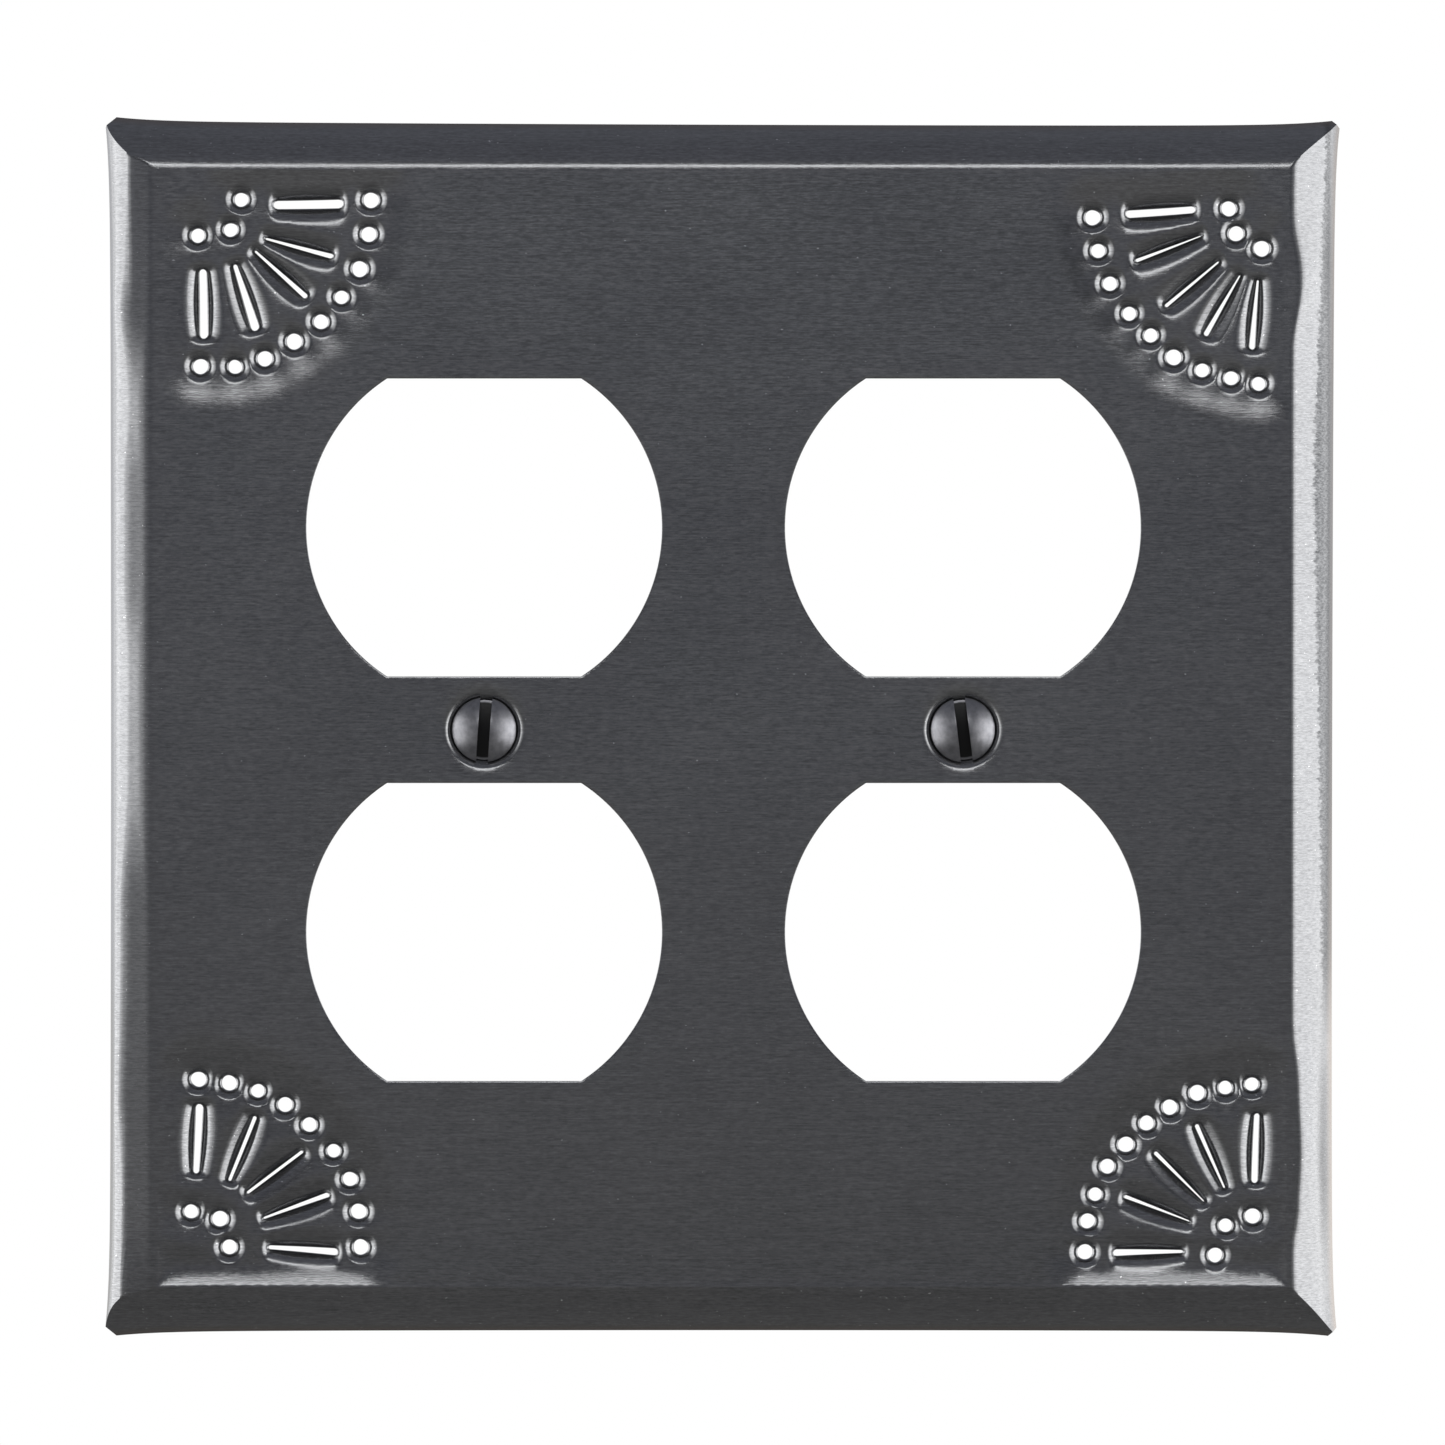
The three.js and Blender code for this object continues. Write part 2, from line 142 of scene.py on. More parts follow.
# ---- the pierced fans, as on the CAD plate ----
# Angles are in degrees from +X as seen from the room. The rim is the outer row of holes and the
# heel the three at the pivot. slits are a bar's half widths at its inner and outer end.
FANS = [
    {
        "pivot": (-49.4, 50.4),
        "rim": {"radius": 15.5, "from": 2, "to": -93, "bow": -1, "holes": 9},
        "bars": {"inner": 6.1, "centres": [1, -25, -44, -69, -94], "leans": [0, 10, 2, -3, 5]},
        "slits": [(0.4, 0.42), (0.1, 0.23), (0.1, 0.23), (0.19, 0.38), (0.34, 0.38)],
        "heel": {"radius": 3.0, "from": 14, "to": -113},
    },
    {
        "pivot": (52.4, 50.2),
        "rim": {"radius": 16.8, "from": -177, "to": -93, "bow": 2.5, "holes": 9},
        "bars": {"inner": 7.0, "centres": [-178, -158, -135, -115, -97], "leans": [2, -1, -5, -5, 2]},
        "slits": [(0.33, 0.36), (0.05, 0.16), (0.08, 0.16), (0.07, 0.23), (0.1, 0.27)],
        "heel": {"radius": 3.9, "from": -177, "to": -100},
    },
    {
        "pivot": (-50.6, -49.5),
        "rim": {"radius": 15.8, "from": 90, "to": -1, "bow": 2, "holes": 9},
        "bars": {"inner": 6.8, "centres": [90, 65, 43, 21, -3], "leans": [-3, 3, -6, -1, -1]},
        "slits": [(0.27, 0.34), (0.15, 0.17), (0.13, 0.14), (0.1, 0.23), (0.19, 0.34)],
        "heel": {"radius": 3.2, "from": 100, "to": -6},
    },
    {
        "pivot": (50.7, -50.1),
        "rim": {"radius": 15.9, "from": 180, "to": 89, "bow": 0, "holes": 10},
        "bars": {"inner": 6.5, "centres": [181, 156, 134, 113, 87], "leans": [0, 3, 1, 1, 1]},
        "slits": [(0.15, 0.32), (0.06, 0.17), (0.05, 0.18), (0.09, 0.19), (0.29, 0.24)],
        "heel": {"radius": 3.3, "from": 186, "to": 87},
    },
]
HEEL_HOLES = 3
WANDER = 0.15  # how far a punched hole may land from its place
PUNCH_SEED = 11

HOLE_RADIUS = 0.7
HOLE_SIZES = (0.92, 1.08)  # the smallest and largest hole, as shares of that radius
HOLE_REACH = 0.88  # how far outside the hole's edge the sheet starts to roll in
HOLE_ROLL = 1.25  # radius of that roll
HOLE_CREASE = 14  # it starts with a crease of this many degrees
HOLE_STEEPEST = 68
HOLE_SOFTNESS = 0.04
RAGGED = 0.03  # how much a hole's outline wavers, as a share of its radius
RAGGED_FADE = 4  # how fast that dies away from the hole, per millimetre

BAR_LENGTH = 6.7
BAR_REACH = 1.6
BAR_ROLL = 1.6
BAR_STEEPEST = 60
BAR_SOFTNESS = 0.3
BAR_WAIST = 0.15  # how much less a bar's reach is at its ends than in its middle
BAR_END_STEEPNESS = 1.7

SINK_DEPTH = 0.355  # the dent that all the blows together leave around a fan
SINK_FROM = 0.2  # the dent fades between these distances from the nearest hole
SINK_TO = 3.7
SINK_BLEND = 0.5  # how softly the dents of neighbouring holes join
SINK_FAR = 20  # farther than this, a hole has no part in the dent
SINK_LINES = [(-52.5, -36.0, -51.7), (36.0, 52.5, -51.7)]  # also dented: x from, x to, z
HELD_SLOPE = 14.0  # the steepest that the dent can slope down from a bend, which holds it
HELD_EASING = 0.019  # how fast that slope eases, per millimetre from the bend
HELD_REACH = 3.5
HELD_SOFTNESS = 0.05
NEAR_BEND = 1.9  # a hole's own drop fades out over this distance from a bend
BROAD_WAVE = 0.02  # height of the slow waves in the sheet, which isn't quite flat
SMALL_WAVE = 0.012

# ---- how finely the face is divided ----
RING_GAP = 0.075  # the least distance between points of the rings round the holes
RING_OVERLAP = 0.03  # how much nearer another hole may be to a point of a ring
OFF_HOLES = 0.3  # how far points that belong to no ring keep from the holes
OFF_BENDS = 0.3  # and the rings from the bend lines
BESIDE_BENDS = (0.2, 0.45, 0.8, 1.25)  # rows of points, this far in from the bend lines
BESIDE_GAP = 0.15
FINE_GRID = {"spacing": 0.6, "gap": 0.33, "off_holes": OFF_HOLES, "off_bends": 0.25}
FINE_MARGIN = 4.2  # how far the fine grid reaches round the fans
COARSE_GRID = {"spacing": 1.7, "gap": 0.9, "off_holes": 0.8, "off_bends": 0.6}
OUTLINE_REACH = 0.3  # triangles within this distance of a hole are tested against its outline
FACE_TOLERANCE = 1e-6

# ---- screws ----
SCREW_LENGTH = 12.7  # from the front edge of the head to the tip
SCREW_SIDES = 80
SCREW_SHARP_ANGLE = 35
CROWN_HEIGHT = 1.12
CROWN_STEPS = 16
HEAD_EDGE = 0.12  # straight edge between crown and cone
HEAD_ROUNDING = [(0.015, 0.03), (0.0, 0.07), (0.0, HEAD_EDGE)]  # in from the radius, depth
CROWN_INSET = 0.05
CONE_ROWS = 10
CONE_FIRST_ROW = 0.08  # as a share of the cone's length
THREAD_RADIUS = 1.75
THREAD_CORE = 1.32
THREAD_PITCH = 0.794
THREAD_ROWS = 18  # per pitch
THREAD_FOOT = 0.74  # width of the ridge at its foot, as a share of the pitch
THREAD_FLANK = 0.58  # width of its two flanks together, in the same way
THREAD_START = 0.1  # from the cone to the first turn
THREAD_RUNOUT = 0.5  # from the last turn to the tip
SHANK_RUNOUT = 0.35  # from the end of the straight shank to the tip
TIP_ROUNDING = [(0.08, 0.2), (0.3, 0.03), (0.4, 0.0)]  # in from the core, back from the tip
SLOT_WIDTH = 1.15
SLOT_DEPTH = 1.5
SLOT_BEVEL = 0.05
SLOT_BEVEL_ANGLE = 50
SAW_LENGTH = 12.0  # longer than the head is wide
SAW_CLEARANCE = 1.0  # how far the saw stands clear in front of the crown
SLOT_TURNS = {"left": 4, "right": -7}  # degrees from upright

# ---- colours of the metal ----
TIN_DARK = (0.2, 0.202, 0.206, 1.0)
TIN_PALE = (0.38, 0.383, 0.39, 1.0)
TIN_SPECK = (0.75, 0.75, 0.75, 1.0)
# painted shade beside the right rim
TIN_RIM_SHADE = (0.065, 0.067, 0.07, 1.0)
TIN_BARE = (0.3, 0.26, 0.23, 1.0)
SCREW_DARK = (0.22, 0.22, 0.235, 1.0)
SCREW_PALE = (0.36, 0.36, 0.38, 1.0)
# painted shade for the recess of the screw slot
SLOT_PAINTED_SHADE = (0.03, 0.03, 0.03, 1.0)

# ---- studio ----
# How bright the white walls beside the plate are: (degrees round from the front, brightness).
RIGHT_WALL = [
    (20, 0.0), (34, 0.22), (50, 1.7), (66, 2.3),
    (124, 2.2), (145, 0.65), (165, 0.35), (180, 0.2),
]
LEFT_WALL = [
    (18, 0.0), (28, 0.1), (42, 0.55), (56, 1.2), (70, 2.2),
    (116, 2.35), (146, 1.15), (165, 0.45), (180, 0.2),
]
BRIGHTEST_WALL = 4.0
DIM_LEVEL = 0.188  # of the light between the walls
DIM_TINT = (0.93, 0.97, 1.13)
STRIP_WIDTH = 28  # degrees, as seen from the plate
STRIP_HEIGHT = 10
STRIP_ELEVATION = 25
STRIP_RADIANCE = 3.0
STRIP_DISTANCE = 1.5  # metres
FLOOR_HALF_WIDTH = 1.5  # metres
FLOOR_GAP = 0.8  # from the floor up to the plate
FLOOR_GLOW = 0.36
FRAME_WIDTH = 138.9  # of what the camera sees at the face
CAMERA_DISTANCE = 1.0  # metres
CAMERA_OFFSET = (-0.1, 0.7)  # to the right and up
SENSOR_WIDTH = 36.0

rng = random.Random(PUNCH_SEED)


# ---- small helpers ----
def smoothstep(value):
    value = np.clip(value, 0.0, 1.0)
    return value * value * (3.0 - 2.0 * value)


def linked(name, data):
    obj = bpy.data.objects.new(name, data)
    bpy.context.scene.collection.objects.link(obj)
    return obj


def mesh_object(name, vertices, faces):
    """A mesh object from millimetre vertices."""
    mesh = bpy.data.meshes.new(name)
    mesh.from_pydata([tuple(v) for v in np.asarray(vertices) * MM], [], faces)
    mesh.update()
    return linked(name, mesh)


def object_from(bm, name):
    mesh = bpy.data.meshes.new(name)
    bm.to_mesh(mesh)
    bm.free()
    return linked(name, mesh)


def round_pairs(ring):
    """Each item of a closed ring with the next one."""
    ring = tuple(ring)
    return list(zip(ring, ring[1:] + ring[:1]))


def band(first, second):
    """The faces between two closed rings of vertices."""
    return [(a, c, d, b) for (a, b), (c, d) in zip(round_pairs(first), round_pairs(second))]


def shade_smooth(obj, angle):
    obj.data.shade_smooth()
    obj.data.set_sharp_from_angle(angle=math.radians(angle))


def along(stops, value):
    """Smooth steps between (place, amount) stops."""
    places, amounts = zip(*stops)
    index = np.clip(np.searchsorted(places, value) - 1, 0, len(stops) - 2)
    places = np.array(places)
    amounts = np.array(amounts)
    share = smoothstep((value - places[index]) / (places[index + 1] - places[index]))
    return amounts[index] + share * (amounts[index + 1] - amounts[index])


def around(count):
    return np.linspace(0, 2 * math.pi, count, endpoint=False)


def on_circle(radius, angle):
    return np.stack([radius * np.cos(angle), radius * np.sin(angle)], axis=1)


def eased(amount, softness):
    """The amount where it's above nothing, else nothing, with a soft change between the two."""
    return 0.5 * (amount + np.sqrt(amount ** 2 + softness ** 2))


def rolled(inward, radius, steepest, softness, crease=0.0):
    """Drop of a sheet that rolls back over a radius, then goes on straight, as steep as given.

    inward is how far past the start of the roll, in millimetres; softness eases that start.
    """
    steepest = math.radians(steepest)
    already = radius * math.sin(math.radians(crease))
    inward = eased(inward, softness) + already
    turning = np.minimum(inward, radius * math.sin(steepest))
    rise = math.sqrt(radius ** 2 - already ** 2) - np.sqrt(radius ** 2 - turning ** 2)
    return rise + (inward - turning) * math.tan(steepest)


# ---- features of the face: each knows its outline, its rings and the drop around it ----
class RoundPunch:
    """A hole driven through with a round punch, a little ragged."""

    offsets = (0.08, 0.17, 0.27, 0.38, 0.5, 0.62, 0.73, 0.82, 0.9, 1.15, 1.5)
    points = 28

    def __init__(self, x, z):
        self.centre = np.array([x, z])
        self.radius = HOLE_RADIUS * rng.uniform(*HOLE_SIZES)
        self.lobes = [
            (count, rng.uniform(0.0, RAGGED), rng.uniform(0, 2 * math.pi))
            for count in (2, 3)
        ]

    def ring(self, offset):
        angle = around(self.points)
        ragged = sum(size * np.sin(count * angle + phase) for count, size, phase in self.lobes)
        radius = self.radius * (1 + ragged * math.exp(-RAGGED_FADE * offset)) + offset
        return self.centre + on_circle(radius, angle)

    def distance(self, points):
        return np.hypot(*(points - self.centre).T) - self.radius

    def drop(self, points):
        away = self.distance(points)
        return rolled(HOLE_REACH - away, HOLE_ROLL, HOLE_STEEPEST, HOLE_SOFTNESS, HOLE_CREASE)


class BarPunch:
    """A slit driven through with a chisel: a boat-shaped trough around a tapering slit."""

    offsets = (0.12, 0.26, 0.4, 0.54, 0.68, 0.82, 0.98, 1.16, 1.4, 1.7, 2.05)
    spacing = 0.28
    fewest_end_points = 5

    def __init__(self, x, z, turn, inner_radius, outer_radius):
        self.centre = np.array([x, z])
        self.along = np.array([math.cos(turn), math.sin(turn)])
        self.across = np.array([-math.sin(turn), math.cos(turn)])
        self.inner_radius = inner_radius
        self.outer_radius = outer_radius
        self.start = -BAR_LENGTH / 2 + inner_radius
        self.end = BAR_LENGTH / 2 - outer_radius

    def _half_circle(self, radius, start):
        count = max(self.fewest_end_points, round(math.pi * radius / self.spacing))
        turn = np.linspace(start, start + math.pi, count, endpoint=False)
        return radius * np.cos(turn), radius * np.sin(turn)

    def ring(self, offset):
        inner = self.inner_radius + offset
        outer = self.outer_radius + offset
        length = self.end - self.start
        side = np.linspace(0, 1, round(length / self.spacing), endpoint=False)
        outer_u, outer_v = self._half_circle(outer, -math.pi / 2)
        inner_u, inner_v = self._half_circle(inner, math.pi / 2)
        u = [self.start + side * length, self.end + outer_u, self.end - side * length]
        v = [side * (inner - outer) - inner, outer_v, outer + side * (inner - outer)]
        u = np.concatenate(u + [self.start + inner_u])
        v = np.concatenate(v + [inner_v])
        return self.centre + np.outer(u, self.along) + np.outer(v, self.across)

    def _local(self, points):
        """How far points lie along the bar, across it and past the ends of its slit."""
        offset = points - self.centre
        u = offset @ self.along
        return u, offset @ self.across, u - np.clip(u, self.start, self.end)

    def _edge(self, u):
        share = np.clip((u - self.start) / (self.end - self.start), 0, 1)
        return self.inner_radius + share * (self.outer_radius - self.inner_radius)

    def distance(self, points):
        u, v, overshoot = self._local(points)
        return np.hypot(overshoot, v) - self._edge(u)

    def drop(self, points):
        u, v, overshoot = self._local(points)
        away = np.hypot(BAR_END_STEEPNESS * overshoot, v) - self._edge(u)
        reach = BAR_REACH * (1 - BAR_WAIST * np.minimum((2 * u / BAR_LENGTH) ** 2, 1.0))
        return rolled(reach - away, BAR_ROLL, BAR_STEEPEST, BAR_SOFTNESS)


class Dish:
    """A screw hole with a countersunk dish pressed around it."""

    offsets = (0.35, 0.7, 0.92, 1.0, 1.08, 1.16, 1.26, 1.4, 1.7, 2.2)
    points = 64
    lip = 0.28  # how far past the cone's edge the face starts to roll in

    def __init__(self, x):
        self.centre = np.array([x, 0.0])

    def ring(self, offset):
        return self.centre + on_circle(DISH_HOLE_RADIUS + offset, around(self.points))

    def distance(self, points):
        return np.hypot(*(points - self.centre).T) - DISH_HOLE_RADIUS

    def drop(self, points):
        inward = eased(DISH_RADIUS - DISH_HOLE_RADIUS - self.distance(points), self.lip)
        return inward / math.tan(math.radians(DISH_HALF_ANGLE))


class Opening:
    """A device opening: a circle with a flat at its top and bottom."""

    offsets = (0.08, 0.18, 0.4, 1.0)
    spacing = 0.6
    lip = 0.12  # how far outside the opening the sheared edge starts to roll in
    roll = 0.2
    steepest = 50
    softness = 0.05

    def __init__(self, x, z):
        self.centre = np.array([x, z])

    def ring(self, offset):
        radius = OPENING_RADIUS + offset
        half_height = OPENING_HALF_HEIGHT + offset
        flat_angle = math.asin(half_height / radius)
        arc_points = round(2 * flat_angle * radius / self.spacing)
        flat_points = round(2 * radius * math.cos(flat_angle) / self.spacing)
        arc = np.linspace(-flat_angle, flat_angle, arc_points, endpoint=False)
        flat = np.linspace(1, -1, flat_points, endpoint=False) * radius * math.cos(flat_angle)
        top = np.stack([flat, np.full(flat_points, half_height)], axis=1)
        half = np.concatenate([on_circle(radius, arc), top])
        return self.centre + np.concatenate([half, -half])

    def distance(self, points):
        x, z = np.abs(points - self.centre).T
        return np.maximum(np.hypot(x, z) - OPENING_RADIUS, z - OPENING_HALF_HEIGHT)

    def drop(self, points):
        return rolled(self.lip - self.distance(points), self.roll, self.steepest, self.softness)


# ---- laying out the fans ----
def polar(pivot, radius, degrees):
    angle = math.radians(degrees)
    return pivot[0] + radius * math.cos(angle), pivot[1] + radius * math.sin(angle)


def arc_places(pivot, arc, count):
    """Evenly spread places on an arc; bow is how many degrees its middle is moved on."""
    places = []
    for i in range(count):
        share = i / (count - 1)
        angle = arc["from"] + share * (arc["to"] - arc["from"])
        angle += arc.get("bow", 0) * math.sin(math.pi * share)
        places.append(polar(pivot, arc["radius"], angle))
    return places


def fan_holes(fan):
    places = arc_places(fan["pivot"], fan["rim"], fan["rim"]["holes"])
    places += arc_places(fan["pivot"], fan["heel"], HEEL_HOLES)
    return [
        RoundPunch(x + rng.uniform(-WANDER, WANDER), z + rng.uniform(-WANDER, WANDER))
        for x, z in places
    ]


def fan_bars(fan):
    bars = fan["bars"]
    punches = []
    for angle, lean, (inner, outer) in zip(bars["centres"], bars["leans"], fan["slits"]):
        x, z = polar(fan["pivot"], bars["inner"] + BAR_LENGTH / 2, angle)
        punches.append(BarPunch(x, z, math.radians(angle + lean), inner, outer))
    return punches


def face_features():
    features = [Dish(x) for x in SCREW_CENTRES]
    for x in SCREW_CENTRES:
        for end in (-1, 1):
            features.append(Opening(x, end * OUTLET_SPACING / 2))
    for fan in FANS:
        features += fan_holes(fan)
        features += fan_bars(fan)
    return features


def bend_distance(points):
    """How far (x, z) points lie inside the nearest bend line."""
    x, z = points.T
    return np.minimum.reduce([
        x - BEND_LINES["left"],
        BEND_LINES["right"] - x,
        z - BEND_LINES["bottom"],
        BEND_LINES["top"] - z,
    ])


def hole_distance(points, features):
    """How far (x, z) points lie from the edge of the nearest of some features."""
    return np.min([feature.distance(points) for feature in features], axis=0)


def punches_of(features):
    return [feature for feature in features if isinstance(feature, (RoundPunch, BarPunch))]


def smaller(a, b, softness):
    """The smaller of two amounts, with a soft change from one to the other."""
    return 0.5 * (a + b - np.sqrt((a - b) ** 2 + softness ** 2) + softness)


def sink(points, features):
    """The shared dent around the punches, from a smooth distance to the nearest one."""
    x, z = points.T
    distances = [punch.distance(points) for punch in punches_of(features)]
    for low, high, height in SINK_LINES:
        distances.append(np.hypot(x - np.clip(x, low, high), z - height))
    closeness = sum(np.exp(-np.minimum(d, SINK_FAR) / SINK_BLEND) for d in distances)
    distance = -SINK_BLEND * np.log(closeness + 1e-12)
    return SINK_DEPTH * (1 - smoothstep((distance - SINK_FROM) / (SINK_TO - SINK_FROM)))


def waves(points):
    """Slow waves over about 30 to 90 millimetres."""
    x, z = points.T
    broad = BROAD_WAVE * np.sin(0.11 * x + 1.3) * np.cos(0.09 * z)
    small = SMALL_WAVE * np.sin(0.21 * z + 0.07 * x)
    return broad + small


def face_drop(points, features):
    """How far the front of the face lies behind its nominal plane at (x, z) points."""
    drop = sum(feature.drop(points) for feature in features)
    edge = bend_distance(points)
    from_bend = np.clip(edge, 0, HELD_REACH)
    held = from_bend * (math.tan(math.radians(HELD_SLOPE)) - HELD_EASING * from_bend)
    dent = np.minimum(smaller(sink(points, features), held, HELD_SOFTNESS), held)
    return dent + (drop + waves(points)) * smoothstep(edge / NEAR_BEND)


# ---- the flange ----
def flange_section(side, extra_bend=0.0, end=None, late=0.0):
    """(distance out, drop, tilt) from the bend line to the rim, the width scaled to 1.

    A late bend starts further out, the face sinking a little before it.
    """
    start = math.radians(side["start"] + LATE_STEEPER * late)
    end = math.radians(side["end"] if end is None else end)
    bend = side["bend"] + extra_bend
    turn = np.linspace(0, start, BEND_STEPS)
    bend_points = np.stack([bend * np.sin(turn), bend * (1 - np.cos(turn))], axis=1)
    if late > 0:
        bend_points[1:, 0] += late
        bend_points[1:, 1] += LATE_DROP * late
    first = bend_points[-1]
    rim = np.array([side["width"], FACE_DEPTH])
    reach = CURVE_HOLD * np.hypot(*(rim - first))
    control = [
        first,
        first + reach * np.array([math.cos(start), math.sin(start)]),
        rim - reach * np.array([math.cos(end), math.sin(end)]),
        rim,
    ]
    t = np.linspace(0, 1, CURVE_STEPS)[1:, None]
    shares = [math.comb(3, i) * (1 - t) ** (3 - i) * t ** i for i in range(4)]
    curve = sum(share * point for share, point in zip(shares, control))
    points = np.concatenate([bend_points, curve])
    steps = np.gradient(points, axis=0)
    tilt = np.arctan2(steps[:, 1], steps[:, 0])
    tilt[0] = 0.0
    return points[:, 0] / side["width"], points[:, 1], tilt


def side_stations():
    """Places along a side from -1 to 1, closer together near the corners."""
    half = (BEND_LINES["right"] - BEND_LINES["left"]) / 2
    stations = [0.0]
    step = STATION_FIRST
    while stations[-1] < half:
        stations.append(stations[-1] + step)
        step = min(step * STATION_GROWTH, STATION_LARGEST)
    from_corner = np.array(stations) / stations[-1]
    low = from_corner - 1
    return np.concatenate([low, -low[-2::-1]])


def side_width(side, stations):
    """Width from bend line to rim along a side, flared at its ends and a little bowed."""
    ends = np.exp(-(1 - np.abs(stations)) * PLATE_HALF_HEIGHT / TIP_FLARE_LENGTH)
    bow = EDGE_BOW * stations ** 2
    return side["width"] + side["taper"] * stations / 2 + TIP_FLARE * ends + bow


def left_out(level, stations):
    """The left edge: out from its bend line at one depth, along the edge.

    A round bend, a straight slope, then a quick turn into an almost upright rim.
    """
    height = stations * PLATE_HALF_HEIGHT
    width = side_width(SIDES["left"], stations)
    tilt = np.radians(along(LEFT_TILT, height))
    slope_width = along(LEFT_SLOPE, height)
    bend = SIDES["left"]["bend"]
    start = bend * np.tan(tilt / 2)
    slope_drop = (slope_width - start) * np.tan(tilt)
    gentle = np.minimum(level, slope_drop) / np.tan(tilt) + start
    rounded = np.sqrt(np.maximum(2 * bend * level - level ** 2, 0))
    gentle = np.where(level < bend * (1 - np.cos(tilt)), rounded, gentle)

    steep_drop = np.maximum(level - slope_drop, 0)
    upright = (FACE_DEPTH - slope_drop) / math.tan(math.radians(LEFT_RIM_TILT))
    turning = width - slope_width - upright
    turn_tilt = np.maximum(tilt, np.radians(along(LEFT_TURN_TILT, height)))
    turned = turning * (1 - np.exp(-steep_drop / (turning * np.tan(turn_tilt))))
    return gentle + turned + upright * steep_drop / (FACE_DEPTH - slope_drop)


def right_sections(stations):
    """The right edge's own section at every station."""
    height = stations * PLATE_HALF_HEIGHT
    amounts = [along(stops, height) for stops in (RIGHT_BEND, RIGHT_END, RIGHT_LATE)]
    return [flange_section(SIDES["right"], *each) for each in zip(*amounts)]


def right_out(sections, level, stations):
    """The right edge: out from its bend line at one depth, along the edge."""
    shares = np.array([np.interp(level, drop, share) for share, drop, _ in sections])
    return shares * side_width(SIDES["right"], stations)


def loop_levels():
    return np.concatenate([
        BEND_DROP * np.linspace(0, 1, BEND_LOOPS) ** 2,
        np.linspace(BEND_DROP, SLOPE_DROP, SLOPE_LOOPS)[1:],
        np.linspace(SLOPE_DROP, FACE_DEPTH, RIM_LOOPS)[1:],
    ])


def flange_loops(stations):
    """Rectangular loops of equal drop from the bend lines to the rim.

    Each loop is a pair of arrays, front and back points, round the plate anticlockwise.
    """
    sections = {name: flange_section(side) for name, side in SIDES.items()}
    right = right_sections(stations)
    sign = {"left": -1, "right": 1, "bottom": -1, "top": 1}
    loops = []
    for level in loop_levels():
        edge = {}
        for name, (share, drop, tilt) in sections.items():
            if name == "left":
                out = left_out(level, stations)
            elif name == "right":
                out = right_out(right, level, stations)
            else:
                out = np.interp(level, drop, share) * side_width(SIDES[name], stations)
            lean = np.interp(level, drop, tilt)
            edge[name] = {
                "front": BEND_LINES[name] + sign[name] * out,
                "back": BEND_LINES[name] + sign[name] * (out - SHEET * math.sin(lean)),
                "front_drop": level,
                "back_drop": min(level + SHEET * math.cos(lean), FACE_DEPTH),
            }
        loops.append((loop_points(edge, "front", stations), loop_points(edge, "back", stations)))
    return loops


def loop_points(edge, face, stations):
    """Joins the edge lines into one loop: bottom, right, top and left, each without its end."""
    share = (stations + 1) / 2
    left, right, bottom, top = (edge[name][face] for name in ("left", "right", "bottom", "top"))

    def between(low, high):
        return low + share * (high - low)

    runs = [
        (between(left[0], right[0]), bottom, "bottom"),
        (right, between(bottom[-1], top[-1]), "right"),
        (between(left[-1], right[-1])[::-1], top[::-1], "top"),
        (left[::-1], between(bottom[0], top[0])[::-1], "left"),
    ]
    points = []
    for x, z, name in runs:
        y = np.full(len(stations) - 1, edge[name][face + "_drop"] - FACE_DEPTH)
        points.append(np.stack([x[:-1], y, z[:-1]], axis=1))
    return np.concatenate(points)


# ---- the face: a triangulated sheet with every hole in it ----
def inside_polygon(points, polygon):
    x, z = points.T
    inside = np.zeros(len(points), bool)
    for (x0, z0), (x1, z1) in zip(polygon, np.roll(polygon, -1, axis=0)):
        crosses = (z0 > z) != (z1 > z)
        if z1 != z0:
            inside ^= crosses & (x < (x1 - x0) * (z - z0) / (z1 - z0) + x0)
    return inside


def grid(layout, features):
    """A grid over the face, clear of the holes and the bends."""
    spacing = layout["spacing"]
    x = np.arange(BEND_LINES["left"] + spacing / 2, BEND_LINES["right"], spacing)
    z = np.arange(BEND_LINES["bottom"] + spacing / 2, BEND_LINES["top"], spacing)
    points = np.stack(np.meshgrid(x, z), axis=-1).reshape(-1, 2)
    points = points[hole_distance(points, features) > layout["off_holes"]]
    return points[bend_distance(points) > layout["off_bends"]]


def spread(candidates, taken, gap):
    """The candidates that keep a gap to those taken and to each other, in order."""
    cells = {}

    def cell_of(point):
        return int(point[0] // gap), int(point[1] // gap)

    def put(point):
        cells.setdefault(cell_of(point), []).append(point)

    def crowded(point):
        x, z = point
        i, j = cell_of(point)
        for cell in itertools.product((i - 1, i, i + 1), (j - 1, j, j + 1)):
            for other in cells.get(cell, ()):
                if (other[0] - x) ** 2 + (other[1] - z) ** 2 < gap * gap:
                    return True
        return False

    for point in taken:
        put(point)
    kept = []
    for point in candidates:
        if not crowded(point):
            put(point)
            kept.append(point)
    return kept


def ring_points(features):
    """Rings round every hole, each point kept only where its own hole is the nearest."""
    rings = []
    for offset_index in range(max(len(feature.offsets) for feature in features)):
        for feature in features:
            if offset_index >= len(feature.offsets):
                continue
            ring = feature.ring(feature.offsets[offset_index])
            others = hole_distance(ring, [other for other in features if other is not feature])
            nearest = feature.distance(ring) <= others + RING_OVERLAP
            rings.append(ring[nearest & (bend_distance(ring) > OFF_BENDS)])
    return np.concatenate(rings)


def inset_loop(boundary, distance):
    """The face's outline moved inwards, its points still opposite each other."""
    x = np.clip(boundary[:, 0], BEND_LINES["left"] + distance, BEND_LINES["right"] - distance)
    z = np.clip(boundary[:, 1], BEND_LINES["bottom"] + distance, BEND_LINES["top"] - distance)
    return np.stack([x, z], axis=1)


def rows_beside_bends(boundary, features):
    rows = np.concatenate([inset_loop(boundary, distance) for distance in BESIDE_BENDS])
    return rows[hole_distance(rows, features) > OFF_HOLES]


